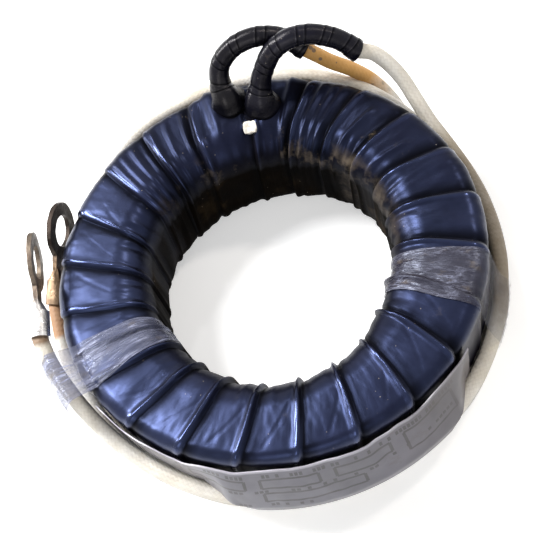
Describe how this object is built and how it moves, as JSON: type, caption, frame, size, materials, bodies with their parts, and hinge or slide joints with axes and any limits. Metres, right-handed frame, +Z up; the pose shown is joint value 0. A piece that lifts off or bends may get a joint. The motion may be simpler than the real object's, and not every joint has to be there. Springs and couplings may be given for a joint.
{
  "type": "current transformer",
  "caption": "Window-type ring current transformer wound in black tape, with two braided leads stowed round it, each ending in a ring terminal.",
  "frame": {"origin": "the axis of the ring's window at the underside of the tape", "axes": "+Z up along the window's axis; the two lead loops rise from the top near +Y, the label is on the wall near -Y, and the terminals stand on the -X side"},
  "size_m": [0.1281, 0.1221, 0.054],
  "materials": {
    "core_steel": "rolled strip, oiled",
    "pressboard": "dull",
    "copper_wire": "enamelled",
    "cotton_tape": "woven",
    "vinyl_tape": "glossy, wrinkled",
    "loop_tape": "glossy, wrinkled",
    "cream_braid": "woven, lacquered",
    "stained_braid": "woven, stained",
    "tinned_copper": "tinned, worn and tarnished",
    "tarnished_copper": "brown tarnish",
    "copper_strands": "bare strands",
    "label_paper": "worn, under lacquer",
    "clear_film": "clear, wrinkled",
    "white_mark": "crumpled dab"
  },
  "bodies": {
    "root": {"core": "core_steel", "core_sleeve_inner": "pressboard", "core_sleeve_outer": "pressboard", "core_ring_top": "pressboard", "core_ring_bottom": "pressboard", "secondary_winding": "copper_wire", "winding_cotton": "cotton_tape", "tape_wrap": "vinyl_tape", "lead_1_loop": "loop_tape", "lead_2_loop": "loop_tape", "lead_1": "cream_braid", "lead_2": "stained_braid", "terminal_1": "tinned_copper", "terminal_2": "tarnished_copper", "strand_end_1": "copper_strands", "strand_end_2": "copper_strands", "label": "label_paper", "clear_tape_right": "clear_film", "clear_tape_left": "clear_film", "polarity_mark": "white_mark"}
  },
  "joints": []
}
